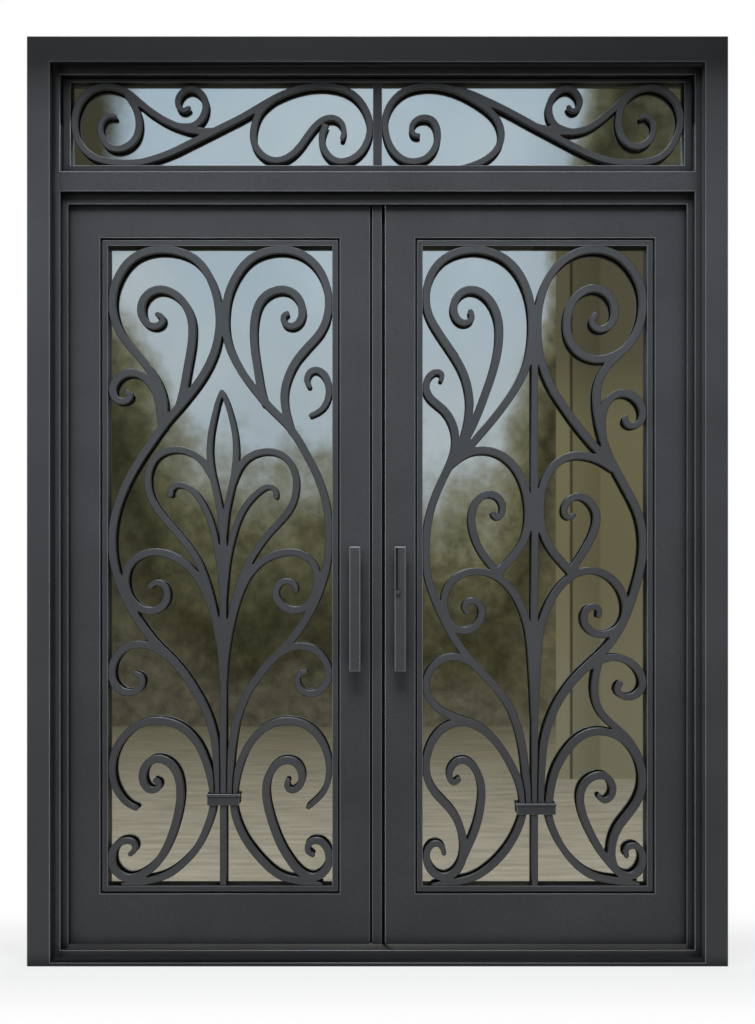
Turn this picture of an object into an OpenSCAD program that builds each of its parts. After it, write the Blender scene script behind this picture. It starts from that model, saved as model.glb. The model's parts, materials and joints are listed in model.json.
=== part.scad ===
// Pair of wrought iron entry doors in a steel frame, with a scrolled transom above.
// Millimetres. The origin is on the floor under the middle of the sill, at half the depth of the frame.
// +X runs to the right seen from outside, +Y runs indoors and +Z runs up.

/* [Frame] */
// Overall width of the frame
frame_width = 1838; // [1600:1:2100]
// Overall height of the frame
frame_height = 2438; // [2200:1:2700]
// Depth of the frame from its outdoor face to its indoor face
frame_depth = 150; // [130:1:200]
// Width of the outer face of a jamb
jamb_face = 60; // [45:1:80]
// Height of the outer face of the head
head_face = 67; // [45:1:90]
// Height of the second face under the head
head_step_face = 20; // [12:1:30]
// Height of the front edge of the sill
sill_nose = 10; // [6:1:20]
// Height of the sill tread where it meets its riser
sill_tread = 16; // [10:1:24]
// Height of the flat top of the sill under the leaves
sill_height = 33; // [26:1:50]
// Width of the second face, inside the outer face
step_face = 19; // [12:1:30]
// Set back of the second face from the front
step_back = 45; // [30:1:60]
// Distance from the top of the frame to the underside of the transom bar
transom_zone = 396; // [340:1:480]
// Height of the transom bar itself
bar_height = 53; // [40:1:80]

/* [Door stops] */
// Width of the side stops
stop_face = 17; // [12:1:24]
// Drop of the head stop under the transom bar
stop_drop = 29; // [20:1:40]
// Thickness of the stops
stop_thick = 12; // [8:1:16]

/* [Transom] */
// Width of the transom bead at the sides
transom_bead_side = 23; // [15:1:30]
// Height of the transom bead at the top
transom_bead_top = 13; // [8:1:24]
// Height of the transom bead at the bottom
transom_bead_low = 22; // [12:1:30]
// Depth of the transom bead from its face to the glass
transom_bead_depth = 30; // [20:1:36]
// Width of the shadow groove around the transom bead
transom_groove = 4; // [2:0.5:6]
// Depth of the bead behind the transom glass
transom_rear_depth = 20; // [10:1:22]
// Width of the mullion between the two transom panels
mullion_width = 24; // [16:1:36]
// Set back of the mullion and the transom scrolls behind the bead face
transom_inset = 3; // [0:1:8]
// Depth of the transom scroll bars
transom_scroll_depth = 14; // [10:1:20]
// Width of the transom scroll bars
transom_scroll_width = 18; // [12:1:22]

/* [Leaves] */
// Set back of the leaves from the indoor face of the frame
leaf_inset = 8; // [4:1:14]
// Gap between a leaf and the jamb beside it
hinge_gap = 6; // [5:0.5:10]
// Gap between the leaf face and the back of the stops
face_gap = 6; // [5:0.5:10]
// Gap between the sill and the leaves
sill_gap = 7; // [5:0.5:12]
// Gap between the leaves and the transom bar
head_gap = 8; // [5:0.5:14]
// Half of the distance between the two leaves
meeting_half = 20.5; // [18:0.5:26]
// Thickness of a leaf
leaf_thick = 54; // [45:1:60]
// Width of the hinge stile
hinge_stile = 93; // [80:1:110]
// Width of the meeting stile
meeting_stile = 80.5; // [70:0.5:95]
// Height of the bottom rail
bottom_rail = 135; // [110:1:180]
// Height of the top rail
top_rail = 107; // [90:1:130]

/* [Glazing of the leaves] */
// Width of the shadow groove around the bead
groove = 5; // [3:0.5:8]
// Depth of the shadow groove below the bead face
groove_depth = 6; // [3:0.5:10]
// Width of the bead face
bead_face = 15; // [10:1:24]
// Set back of the bead face behind the leaf face
bead_inset = 4; // [1:0.5:8]
// Depth from the bead face to the glass
bead_depth = 36; // [28:1:40]
// Thickness of the glass
glass_thick = 8; // [6:1:14]
// Clearance around the edge of the glass
glass_play = 2; // [1:0.5:4]

/* [Scrollwork] */
// Width of the scroll bars in the leaves
scroll_width = 21; // [14:0.5:24]
// Depth of the scroll bars in the leaves
scroll_depth = 16; // [10:1:20]
// Set back of the scroll bars behind the bead face
scroll_inset = 2; // [0:0.5:6]
// Width of the seams between bundled bars
seam = 2; // [1:0.5:4]
// Height of the left collar above the lower edge of its panel
left_collar_rise = 215; // [180:1:250]
// Height of the right collar above the lower edge of its panel
right_collar_rise = 190; // [160:1:230]
// Wall of the collars around the bundled bars
collar_wall = 4; // [3:0.5:6]
// Height of the collars
collar_height = 30; // [20:1:40]
// Height of the rim at the top of a collar
collar_rim = 7; // [4:0.5:12]
// How far that rim stands out from the collar
collar_lip = 2; // [1:0.5:4]

/* [Meeting edge] */
// Width of the astragal strip
astragal_width = 26; // [20:0.5:30]
// Width of the shadow groove beside the astragal
astragal_groove = 6; // [3:0.5:8]
// Depth of that groove
astragal_groove_depth = 10; // [5:1:20]

/* [Handles] */
// Length of a pull handle
pull_length = 331; // [250:1:450]
// Width of a pull handle
pull_width = 30; // [20:1:40]
// Thickness of the pull bar
pull_thick = 14; // [8:1:20]
// Clear space between the pull bar and the leaf
pull_clear = 36; // [30:1:50]
// Height of the middle of the pull handles
pull_height = 936; // [850:1:1050]
// Distance of a pull handle from the middle of the door
pull_offset = 60; // [45:1:70]
// Side of the square stand-offs behind a pull bar
pull_post = 18; // [12:1:24]
// Distance of each stand-off from the middle of the pull
pull_post_reach = 115; // [80:1:140]
// Width of the latch blade on the right pull
latch_width = 6; // [4:0.5:10]
// Distance of the latch blade from the edge of the pull
latch_edge = 3; // [1:0.5:8]
// Length of the latch blade
latch_length = 118; // [80:1:140]
// How far the latch blade stands out from the pull
latch_proud = 2; // [1:0.5:4]
// Diameter of the thumb button at the foot of the blade
button_size = 12; // [8:0.5:16]
// How far the thumb button stands out from the pull
button_proud = 6; // [3:0.5:10]

/* [Hinges] */
// Number of hinges on each leaf
hinge_count = 3; // [2:1:4]
// Outer radius of a hinge knuckle
knuckle_radius = 11; // [9:0.5:14]
// Radius of a hinge pin
pin_radius = 6; // [4:0.5:8]
// Radial play of the pin in the leaf knuckle
pin_play = 0.05; // [0.02:0.01:0.1]
// Length of one knuckle
knuckle_length = 55; // [35:1:80]
// Gap between two knuckles of one hinge
knuckle_gap = 0.5; // [0.3:0.1:1]
// Distance from the indoor face of the frame to the hinge axis
hinge_back = 16.5; // [15:0.5:24]
// Width of the weld tabs of a knuckle
tab_width = 34; // [24:1:50]
// Height of the lowest hinge
hinge_low = 260; // [200:1:400]
// Distance of the highest hinge below the top of the leaf
hinge_drop = 244; // [200:1:400]

/* [Hidden] */
half_width = frame_width / 2;
outer_in = half_width - jamb_face;
step_in = outer_in - step_face;
stop_in = step_in - stop_face;
head_low = frame_height - head_face;
head_step = head_low - head_step_face;
bar_bottom = frame_height - transom_zone;
bar_top = bar_bottom + bar_height;
stop_low = bar_bottom - stop_drop;
leaf_back = frame_depth - leaf_inset;
leaf_front = leaf_back - leaf_thick;
stop_end = leaf_front - face_gap;
stop_back = stop_end - stop_thick;
transom_in = step_in - transom_bead_side;
transom_low = bar_top + transom_bead_low;
transom_high = head_step - transom_bead_top;
transom_tall = transom_high - transom_low;
mullion_half = mullion_width / 2;
transom_wide = transom_in - mullion_half;
transom_glass_front = stop_back + transom_bead_depth;
transom_glass_back = transom_glass_front + glass_thick;
leaf_hinge_edge = step_in - hinge_gap;
leaf_low = sill_height + sill_gap;
leaf_high = bar_bottom - head_gap;
open_out = leaf_hinge_edge - hinge_stile;
open_in = meeting_half + meeting_stile;
open_low = leaf_low + bottom_rail;
open_high = leaf_high - top_rail;
bead_total = groove + bead_face;
lite_wide = open_out - open_in - 2 * bead_total;
lite_tall = open_high - open_low - 2 * bead_total;
lite_mid = (open_out + open_in) / 2;
lite_low = open_low + bead_total;
bead_front = leaf_front + bead_inset;
glass_front = bead_front + bead_depth;
glass_back = glass_front + glass_thick;
scroll_front = bead_front + scroll_inset;
transom_scroll_front = stop_back + transom_inset;
hinge_high = leaf_high - hinge_drop;
hinge_line = step_in - hinge_gap / 2;
hinge_deep = frame_depth + hinge_back;
astragal_in = -meeting_half + astragal_groove + astragal_width;
// Sizes that the bar patterns are drawn at, which stretch with the openings
leaf_pattern = [600, 1712];
transom_pattern = [805, 221];
// Edges of the bundles of bars inside the collars, in the same drawing
left_bundle = [-31, 47];
right_bundle = [-44, 52];
spline_steps = 2;
iron = [0.24, 0.24, 0.25];
dark_iron = [0.20, 0.20, 0.21];
steel = [0.32, 0.32, 0.33];
pane = [0.72, 0.80, 0.82, 0.45];

// Position in Y of a depth measured from the outdoor face of the frame
function deep(f) = f - frame_depth / 2;

// Block between two values of X, two depths and two heights
module block(x0, x1, f0, f1, z0, z1)
    translate([min(x0, x1), deep(f0), z0]) cube([abs(x1 - x0), f1 - f0, z1 - z0]);

// Rectangular ring between an outer and an inner rectangle in X and Z
module ring(ox0, ox1, oz0, oz1, ix0, ix1, iz0, iz1, f0, f1)
    difference() {
        block(ox0, ox1, f0, f1, oz0, oz1);
        block(ix0, ix1, f0 - 1, f1 + 1, iz0, iz1);
    }

// Smooth run of points near a short list of points
function eased(p) = [for (i = [0:len(p) - 1]) (i == 0 || i == len(p) - 1) ? p[i]
    : p[i] - (p[i - 1] - 2 * p[i] + p[i + 1]) * 0.13];
function blend(a, b, c, d, t) = (pow(1 - t, 3) * a + (3 * pow(t, 3) - 6 * t * t + 4) * b
    + (-3 * pow(t, 3) + 3 * t * t + 3 * t + 1) * c + pow(t, 3) * d) / 6;
function padded(q) = concat([2 * q[0] - q[1]], q, [2 * q[len(q) - 1] - q[len(q) - 2]]);
function spans(q) = concat(
    [for (i = [1:len(q) - 3]) for (k = [0:spline_steps - 1])
        blend(q[i - 1], q[i], q[i + 1], q[i + 2], k / spline_steps)],
    [q[len(q) - 2]]);
function smooth_run(p) = spans(padded(eased(p)));

// Unit vector across a run of points at point i
function along(c, i) = c[min(i + 1, len(c) - 1)] - c[max(i - 1, 0)];
function across(c, i) = [-along(c, i)[1], along(c, i)[0]] / norm(along(c, i));
// Half width at point i of n, narrowing to the tips over a few points
function ease_tip(i, w, tip) = tip > 0 && i < 10 ? (tip + (w - tip) * i / 10) / 2 : w / 2;
function half_at(i, n, w, tips) = min(ease_tip(i, w, tips[0]), ease_tip(n - i, w, tips[1]));

// One forged bar seen from the front, with rounded free tips
module bar(p, w, tips = [0, 0]) {
    c = smooth_run([for (q = p) [q[0] * $stretch[0], q[1] * $stretch[1]]]);
    n = len(c) - 1;
    polygon(concat(
        [for (i = [0:n]) c[i] + half_at(i, n, w, tips) * across(c, i)],
        [for (i = [n:-1:0]) c[i] - half_at(i, n, w, tips) * across(c, i)]));
    if (tips[0] > 0) translate(c[0]) circle(d = tips[0], $fn = 12);
    if (tips[1] > 0) translate(c[n]) circle(d = tips[1], $fn = 12);
}

// Straight upright bar of the grille
module upright(mid, low, high, w)
    translate([mid * $stretch[0] - w / 2, low * $stretch[1]]) square([w, (high - low) * $stretch[1]]);

// Panel of bars joined into one outline, ground flat at the bead around them and parted along its seams
module panel(mid, low, wide, tall, front, thick, pattern) {
    $stretch = [wide / pattern[0], tall / pattern[1]];
    translate([mid, deep(front) + thick, low])
        rotate([90, 0, 0])
            linear_extrude(height = thick)
                offset(delta = 0)
                    difference() {
                        intersection() {
                            children(0);
                            translate([-wide / 2, 0]) square([wide, tall]);
                        }
                        if ($children > 1) children(1);
                    }
}

// Bars of the left leaf, from the middle of the glass opening and up from its lower edge
module left_bars() {
    w = scroll_width;
    // main bar with the upper left heart
    bar([[-8, 218], [-8, 290], [-10, 340], [-15, 390], [-28, 440], [-45, 480], [-67, 520], [-93, 560],
        [-125, 600], [-165, 638], [-198, 678], [-228, 722], [-252, 765], [-272, 815], [-286, 865],
        [-291, 920], [-286, 975], [-271, 1030], [-250, 1080], [-228, 1120], [-203, 1160], [-175, 1200],
        [-146, 1242], [-110, 1282], [-78, 1322], [-50, 1360], [-27, 1402], [-11, 1445], [-3, 1490],
        [-3, 1535], [-12, 1585], [-30, 1632], [-62, 1675], [-110, 1698], [-165, 1704], [-215, 1692],
        [-252, 1664], [-278, 1620], [-291, 1570], [-284, 1515], [-262, 1470], [-230, 1430], [-198, 1392],
        [-172, 1352]], w);
    bar([[-198, 1392], [-170, 1350], [-156, 1312], [-150, 1272], [-155, 1222]], w);
    // upper left inner curl
    bar([[-112, 1280], [-100, 1320], [-93, 1360], [-86, 1400], [-78, 1445], [-75, 1490], [-80, 1525],
        [-96, 1558], [-122, 1585], [-158, 1598], [-190, 1588], [-210, 1562], [-212, 1532], [-200, 1507],
        [-178, 1497], [-158, 1505], [-155, 1522], [-168, 1529]], w, [0, 14]);
    // left side curl
    bar([[-156, 1222], [-162, 1280], [-172, 1318], [-188, 1345], [-213, 1368], [-243, 1374], [-272, 1362],
        [-290, 1332], [-283, 1306], [-266, 1296], [-248, 1301], [-240, 1313], [-250, 1321]], w, [0, 14]);
    // main bar with the upper right heart
    bar([[25, 218], [25, 290], [28, 340], [34, 390], [43, 440], [56, 480], [74, 520], [102, 560],
        [133, 600], [175, 640], [207, 680], [234, 722], [256, 765], [273, 810], [285, 855], [291, 910],
        [291, 960], [286, 1010], [275, 1055], [258, 1102], [233, 1150], [205, 1200], [172, 1243],
        [132, 1280], [97, 1322], [66, 1362], [42, 1402], [24, 1442], [14, 1485], [13, 1530], [20, 1580],
        [40, 1628], [72, 1672], [115, 1696], [167, 1704], [215, 1693], [253, 1665], [279, 1623],
        [291, 1572], [287, 1525], [270, 1482], [236, 1445], [207, 1410]], w);
    bar([[236, 1445], [205, 1408], [187, 1375], [175, 1340], [171, 1305], [176, 1266], [192, 1214]], w);
    // upper right inner curl
    bar([[122, 1285], [112, 1315], [105, 1350], [98, 1395], [91, 1440], [89, 1485], [93, 1525],
        [105, 1562], [130, 1587], [165, 1598], [197, 1587], [216, 1560], [220, 1530], [210, 1506],
        [190, 1497], [172, 1506], [169, 1524], [178, 1532]], w, [0, 14]);
    // free curl against the right edge
    bar([[243, 1259], [265, 1270], [282, 1288], [291, 1315], [289, 1345], [277, 1370], [257, 1382],
        [239, 1374], [231, 1354], [238, 1338]], w, [12, 14]);
    // pointed bud in the middle
    bar([[4, 1322], [-6, 1298], [-16, 1258], [-25, 1215], [-29, 1170], [-27, 1130], [-20, 1092],
        [-9, 1045], [0, 1000], [6, 940]], w - 4, [12, 0]);
    bar([[5, 1322], [16, 1298], [28, 1260], [38, 1215], [42, 1175], [41, 1135], [36, 1095], [26, 1048],
        [15, 1000], [10, 940]], w - 4, [12, 0]);
    // two leaves of the bud
    bar([[-18, 1085], [-38, 1122], [-60, 1147], [-90, 1163], [-122, 1168], [-155, 1160], [-180, 1138],
        [-193, 1105], [-194, 1068], [-184, 1032], [-162, 998], [-135, 966], [-108, 935], [-83, 903],
        [-60, 868], [-42, 825], [-28, 780], [-16, 730], [-7, 685], [1, 640], [6, 590]], w - 3);
    bar([[32, 1075], [48, 1115], [70, 1143], [100, 1159], [132, 1163], [165, 1154], [190, 1128],
        [203, 1092], [202, 1052], [190, 1014], [165, 980], [133, 947], [106, 912], [84, 878], [64, 838],
        [47, 792], [34, 745], [25, 695], [16, 640], [10, 590]], w - 3);
    // two hooks inside the leaves
    bar([[8, 740], [5, 790], [0, 835], [-5, 875], [-12, 918], [-21, 958], [-36, 1000], [-58, 1038],
        [-82, 1063], [-110, 1074], [-130, 1066], [-135, 1048]], w - 5, [0, 18]);
    bar([[8, 740], [11, 790], [15, 835], [20, 875], [29, 918], [40, 958], [58, 1002], [84, 1037],
        [112, 1062], [133, 1069], [148, 1057], [149, 1041]], w - 5, [0, 14]);
    upright(8, 0, 960, w - 3);
    // middle scrolls
    bar([[8, 545], [5, 600], [-1, 650], [-9, 692], [-18, 730], [-33, 770], [-52, 810], [-78, 847],
        [-112, 873], [-145, 889], [-180, 893], [-215, 884], [-242, 862], [-254, 830], [-253, 795],
        [-240, 764], [-217, 743], [-190, 734], [-165, 740], [-147, 758], [-142, 784], [-153, 806],
        [-174, 812], [-188, 800]], w - 1, [0, 14]);
    bar([[8, 545], [11, 600], [18, 650], [26, 692], [36, 735], [50, 780], [70, 823], [98, 858],
        [135, 882], [183, 893], [218, 887], [245, 867], [259, 835], [257, 800], [247, 768], [228, 745],
        [200, 736], [172, 744], [152, 765], [148, 790], [160, 811], [182, 815], [200, 805], [203, 790]],
        w - 1, [0, 13]);
    // side curls
    bar([[-140, 612], [-175, 637], [-205, 645], [-238, 643], [-267, 628], [-286, 600], [-292, 570],
        [-286, 542], [-268, 522], [-243, 516], [-221, 523], [-209, 542], [-213, 561], [-229, 567]],
        w - 1, [0, 13]);
    bar([[140, 608], [178, 633], [208, 641], [240, 637], [267, 619], [286, 592], [291, 562], [281, 536],
        [260, 517], [237, 513], [216, 523], [205, 545], [211, 566], [227, 571]], w - 1, [0, 13]);
    // open curls above the collar
    bar([[-17, 218], [-18, 245], [-26, 288], [-38, 330], [-55, 370], [-82, 406], [-115, 429], [-150, 440],
        [-185, 441], [-220, 430], [-252, 406], [-278, 370], [-291, 325], [-288, 282], [-273, 246],
        [-250, 219], [-226, 207]], w - 1, [0, 14]);
    bar([[34, 218], [35, 245], [42, 288], [54, 328], [72, 370], [100, 406], [135, 431], [175, 441],
        [213, 436], [248, 416], [275, 382], [290, 338], [291, 300], [284, 265], [266, 236], [236, 210]],
        w - 1, [0, 13]);
    // feet below the collar
    bar([[-17, 250], [-19, 215], [-26, 182], [-40, 145], [-57, 108], [-82, 76], [-115, 45], [-150, 24],
        [-190, 13], [-230, 6], [-264, -3]], w - 2);
    bar([[33, 250], [35, 215], [41, 182], [55, 145], [75, 110], [102, 76], [135, 42], [168, 21],
        [205, 13], [240, 6], [272, -3]], w - 2);
    // lower corner scrolls
    bar([[-241, 84], [-228, 96], [-233, 115], [-253, 120], [-276, 110], [-291, 85], [-290, 57],
        [-277, 34], [-253, 20], [-225, 21], [-197, 36], [-168, 62], [-146, 97], [-128, 140], [-114, 190],
        [-107, 238], [-110, 280], [-124, 315], [-150, 336], [-178, 338], [-201, 320], [-209, 292],
        [-202, 266], [-184, 254], [-167, 261], [-165, 275], [-174, 281]], w, [13, 14]);
    bar([[247, 82], [234, 91], [235, 108], [250, 120], [272, 116], [288, 96], [292, 70], [285, 44],
        [262, 23], [233, 23], [205, 43], [180, 77], [160, 112], [143, 155], [130, 198], [122, 242],
        [125, 280], [140, 313], [166, 334], [195, 333], [214, 314], [220, 288], [210, 263], [191, 253],
        [178, 264], [181, 280]], w, [13, 14]);
}

// Bars of the right leaf, drawn in the same way
module right_bars() {
    w = scroll_width;
    // upper left heart
    bar([[-190, 1156], [-140, 1215], [-108, 1252], [-76, 1294], [-48, 1336], [-26, 1380], [-13, 1425],
        [-7, 1470], [-6, 1515], [-11, 1560], [-23, 1603], [-45, 1645], [-80, 1680], [-125, 1699],
        [-172, 1704], [-220, 1692], [-257, 1667], [-281, 1628], [-291, 1583], [-287, 1537], [-268, 1498],
        [-242, 1458], [-212, 1415]], w);
    bar([[-242, 1458], [-205, 1402], [-186, 1360], [-176, 1318], [-174, 1278], [-181, 1230], [-196, 1180],
        [-214, 1140]], w);
    // upper left inner curl
    bar([[-200, 1165], [-174, 1215], [-152, 1262], [-136, 1305], [-120, 1350], [-106, 1395], [-97, 1440],
        [-94, 1485], [-99, 1525], [-116, 1563], [-143, 1589], [-175, 1597], [-203, 1583], [-217, 1555],
        [-214, 1527], [-199, 1509], [-180, 1508], [-167, 1520], [-172, 1537]], w, [0, 14]);
    // left side hook and long left bar down to the collar
    bar([[-251, 1354], [-247, 1368], [-262, 1377], [-281, 1366], [-291, 1342], [-288, 1318], [-272, 1297],
        [-246, 1277], [-226, 1250], [-214, 1217], [-212, 1180], [-221, 1145], [-238, 1105], [-258, 1062],
        [-274, 1020], [-285, 975], [-291, 930], [-292, 885], [-289, 842], [-279, 800], [-262, 755],
        [-241, 708], [-214, 660], [-180, 612], [-140, 568], [-98, 523], [-70, 483], [-52, 445],
        [-39, 400], [-30, 355], [-24, 300], [-20, 250], [-18, 194]], w, [12, 0]);
    // lower left heart
    bar([[-228, 1122], [-195, 1150], [-160, 1164], [-125, 1165], [-90, 1153], [-58, 1127], [-34, 1088],
        [-20, 1040], [-16, 990], [-22, 942], [-40, 903], [-66, 871], [-98, 838]], w);
    // curl inside the lower left heart
    bar([[-88, 826], [-128, 872], [-152, 910], [-167, 955], [-169, 995], [-155, 1030], [-128, 1049],
        [-100, 1042], [-85, 1018], [-89, 991], [-103, 984], [-111, 995]], w - 1, [0, 14]);
    // middle scrolls
    bar([[0, 450], [-2, 505], [-5, 555], [-8, 605], [-12, 652], [-20, 700], [-36, 747], [-62, 792],
        [-98, 826], [-140, 841], [-180, 838], [-215, 822], [-236, 793], [-243, 758], [-238, 722],
        [-218, 692], [-190, 681], [-163, 690], [-145, 712], [-141, 740], [-155, 760], [-177, 762],
        [-189, 746], [-181, 731]], w - 1, [0, 14]);
    bar([[0, 450], [2, 505], [5, 555], [8, 605], [11, 652], [18, 700], [34, 745], [60, 790], [95, 826],
        [140, 844], [180, 838], [215, 815], [238, 778], [245, 740], [237, 704], [212, 679], [178, 671],
        [149, 682], [132, 708], [137, 736], [156, 748], [174, 739], [172, 723]], w - 1, [0, 14]);
    // left side loop
    bar([[-140, 570], [-180, 604], [-215, 613], [-250, 605], [-278, 580], [-292, 545], [-288, 512],
        [-270, 484], [-240, 461], [-205, 446], [-172, 434], [-138, 416]], w - 1);
    // long right bar from the collar over the upper right heart
    bar([[14, 194], [16, 260], [18, 310], [22, 360], [29, 405], [42, 445], [58, 482], [83, 522],
        [115, 562], [155, 600], [195, 638], [226, 683], [248, 730], [267, 785], [282, 840], [291, 895],
        [289, 950], [277, 1000], [255, 1045], [231, 1090], [209, 1130], [192, 1170], [180, 1210],
        [171, 1250], [166, 1295], [168, 1335], [181, 1372], [207, 1405], [240, 1435], [266, 1467],
        [284, 1507], [291, 1555], [286, 1600], [267, 1642], [235, 1680], [190, 1701], [145, 1704],
        [100, 1690], [63, 1662], [36, 1625], [18, 1580], [9, 1530], [8, 1480], [13, 1425], [27, 1375],
        [50, 1325], [80, 1280]], w);
    bar([[50, 1325], [80, 1280], [108, 1240], [140, 1200], [172, 1163], [202, 1135]], w);
    // upper right inner curl
    bar([[236, 1432], [200, 1413], [170, 1409], [138, 1416], [110, 1435], [92, 1465], [86, 1500],
        [92, 1545], [112, 1578], [145, 1599], [180, 1596], [206, 1573], [216, 1540], [208, 1507],
        [185, 1490], [162, 1494], [153, 1512], [163, 1529]], w, [0, 14]);
    // right side curl
    bar([[184, 1190], [179, 1240], [187, 1282], [208, 1310], [236, 1320], [264, 1311], [285, 1288],
        [291, 1260], [281, 1238], [260, 1230], [244, 1239], [244, 1252]], w, [0, 14]);
    // lower right heart
    bar([[212, 1116], [180, 1137], [145, 1149], [108, 1152], [73, 1141], [43, 1113], [23, 1073],
        [15, 1025], [16, 975], [28, 930], [50, 893], [75, 864], [102, 834]], w);
    // curl inside the lower right heart
    bar([[92, 834], [122, 878], [145, 916], [162, 955], [167, 990], [155, 1020], [130, 1041], [103, 1040],
        [83, 1020], [80, 996], [92, 984], [104, 991]], w - 1, [0, 14]);
    // right side curl in the middle
    bar([[140, 582], [180, 605], [215, 611], [250, 602], [278, 578], [291, 545], [282, 519], [258, 504],
        [234, 508], [220, 524], [228, 540]], w - 1, [0, 16]);
    // bar that ties the side curl to the lower scroll
    bar([[176, 612], [164, 565], [160, 530], [164, 495], [178, 462], [202, 436], [232, 410], [260, 380],
        [283, 335]], w - 2);
    // open scrolls above the collar and their corner curls
    bar([[-28, 200], [-32, 245], [-47, 290], [-70, 335], [-98, 378], [-132, 413], [-168, 434],
        [-205, 437], [-240, 424], [-268, 397], [-286, 358], [-292, 315], [-283, 275], [-262, 241],
        [-233, 212], [-210, 180], [-196, 143], [-190, 105], [-193, 70], [-208, 39], [-235, 22],
        [-262, 26], [-283, 48], [-291, 78], [-283, 103], [-265, 113], [-248, 104], [-243, 86]],
        w, [0, 13]);
    bar([[-205, 42], [-184, 92], [-165, 132], [-151, 175], [-143, 222], [-142, 262], [-154, 305],
        [-180, 333], [-207, 333], [-226, 312], [-228, 287], [-216, 273], [-204, 283]], w - 1, [0, 14]);
    bar([[36, 200], [41, 245], [51, 295], [70, 337], [100, 378], [135, 405], [172, 413], [210, 406],
        [245, 385], [272, 352], [288, 310], [289, 262], [272, 218], [245, 183], [221, 150], [208, 112],
        [206, 75], [216, 45], [240, 25], [268, 27], [288, 52], [291, 80], [279, 101], [259, 107],
        [244, 95], [246, 79]], w, [0, 13]);
    bar([[232, 28], [200, 60], [173, 98], [150, 140], [132, 182], [122, 225], [126, 258], [145, 284],
        [175, 296], [200, 285], [211, 258], [203, 234], [184, 226], [174, 238]], w - 1, [0, 14]);
    // feet below the collar
    bar([[-28, 212], [-34, 178], [-48, 142], [-68, 106], [-95, 72], [-128, 42], [-162, 21], [-200, 11],
        [-240, 4], [-274, -5]], w - 2);
    bar([[36, 212], [40, 178], [53, 142], [72, 104], [100, 67], [133, 37], [170, 20], [210, 13], [250, 7],
        [280, -2]], w - 2);
    upright(0, 0, 1446, w - 3);
}

// Seams between the bars that run side by side out of the left collar
module left_seams() {
    bar([[-16, 240], [-16, 262], [-17, 285], [-21, 320], [-27, 350]], seam);
    bar([[-1, 240], [-1, 300], [-2, 350], [-4, 390], [-8, 430]], seam);
    bar([[17, 240], [17, 300], [18, 340], [20, 380], [24, 425]], seam);
    bar([[33, 240], [33, 262], [34, 285], [38, 320], [45, 350]], seam);
}

// Seams of the right leaf
module right_seams() {
    bar([[-25, 214], [-26, 245], [-31, 275], [-36, 295], [-44, 322]], seam);
    bar([[-9, 214], [-9, 260], [-11, 300], [-14, 340], [-18, 370]], seam);
    bar([[8, 214], [8, 260], [9, 310], [11, 360], [15, 410]], seam);
}

// Bars of the left transom panel
module left_transom_bars() {
    w = transom_scroll_width;
    // long bar from the left loop to the right loop
    bar([[-240, 187], [-268, 204], [-305, 213], [-340, 206], [-370, 184], [-388, 150], [-394, 112],
        [-388, 78], [-370, 46], [-342, 23], [-308, 12], [-270, 8], [-230, 8], [-195, 15], [-155, 28],
        [-115, 45], [-75, 65], [-35, 85], [5, 106], [45, 125], [85, 148], [125, 172], [165, 192],
        [205, 206], [245, 213], [285, 213], [325, 204], [358, 184], [382, 152], [395, 112], [391, 75],
        [375, 42], [348, 19], [315, 11], [288, 22], [270, 48], [266, 80], [277, 110]], w);
    // bar from the left loop down to the long bar
    bar([[-268, 204], [-240, 187], [-212, 162], [-180, 138], [-145, 117], [-105, 101], [-65, 92],
        [-20, 93]], w);
    // curl inside the left loop
    bar([[-256, 197], [-238, 168], [-226, 142], [-221, 112], [-226, 82], [-241, 60], [-265, 47],
        [-292, 46], [-313, 63], [-325, 92], [-322, 117], [-304, 133], [-287, 132]], w, [0, 13]);
    // small upper curl
    bar([[-120, 106], [-85, 104], [-62, 116], [-47, 138], [-43, 165], [-53, 190], [-78, 207], [-103, 199],
        [-118, 177], [-115, 155], [-101, 147], [-89, 154]], w, [0, 12]);
    // drop and right inner curl
    bar([[140, 180], [112, 158], [94, 132], [85, 102], [83, 72], [92, 46], [112, 25], [140, 14],
        [170, 20], [197, 39], [220, 68], [243, 100], [268, 123], [296, 129], [318, 116], [326, 92],
        [321, 74]], w, [0, 13]);
}

// Bars of the right transom panel
module right_transom_bars() {
    w = transom_scroll_width;
    // left loop with its inner curl, down to the bead
    bar([[-306, 81], [-318, 83], [-324, 100], [-315, 120], [-293, 129], [-271, 124], [-257, 104],
        [-254, 73], [-263, 44], [-285, 20], [-318, 11], [-350, 19], [-377, 45], [-391, 80], [-395, 115],
        [-388, 148], [-368, 180], [-335, 204], [-295, 213], [-255, 213], [-212, 203], [-172, 185],
        [-135, 162], [-106, 138], [-88, 108], [-84, 76], [-94, 47], [-117, 23], [-150, 5], [-190, -8]],
        w, [12, 0]);
    // long bar and right loop with its inner curl
    bar([[-225, 206], [-180, 197], [-140, 181], [-95, 160], [-50, 137], [-5, 112], [40, 88], [85, 64],
        [130, 41], [170, 23], [210, 12], [255, 8], [300, 10], [338, 21], [368, 48], [387, 85], [395, 122],
        [387, 160], [363, 191], [325, 209], [285, 205], [253, 184], [234, 152], [228, 118], [235, 83],
        [255, 58], [284, 51], [310, 66], [323, 95], [319, 120], [300, 134], [289, 129]], w, [0, 13]);
    // bar from the long bar up to the right loop
    bar([[10, 104], [60, 92], [105, 90], [145, 99], [180, 122], [212, 149], [242, 178], [272, 199]], w);
    // small upper curl
    bar([[105, 90], [67, 101], [49, 122], [42, 150], [50, 180], [72, 202], [95, 207], [117, 193],
        [126, 170], [119, 151], [104, 146], [95, 156]], w, [0, 12]);
}

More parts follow.
